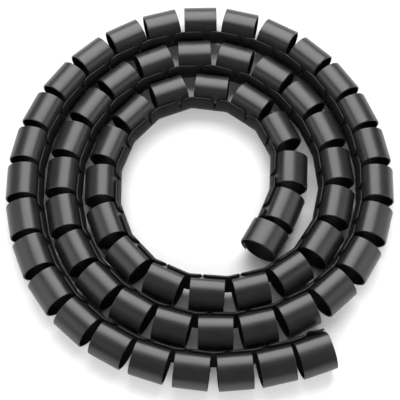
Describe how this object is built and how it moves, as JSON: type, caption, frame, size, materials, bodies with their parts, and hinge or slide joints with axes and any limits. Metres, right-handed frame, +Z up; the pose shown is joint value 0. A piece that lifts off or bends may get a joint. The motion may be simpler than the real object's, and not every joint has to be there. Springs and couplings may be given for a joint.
{
  "type": "spiral cable wrap",
  "caption": "Flexible black plastic cable wrap: a slotted C-section tube of short fingers on one spine, lying as a flat open coil.",
  "frame": {"origin": "middle of the coil's box on the floor that it lies on", "axes": "+Z up through the flat coil, +Y along the coil's longer way across, towards the far side in the picture, +X to the picture's right"},
  "size_m": [0.2374, 0.2556, 0.0229],
  "materials": {
    "black_plastic": "satin moulded plastic with a soft sheen"
  },
  "bodies": {
    "root": {"wrap": "black_plastic"}
  },
  "joints": []
}
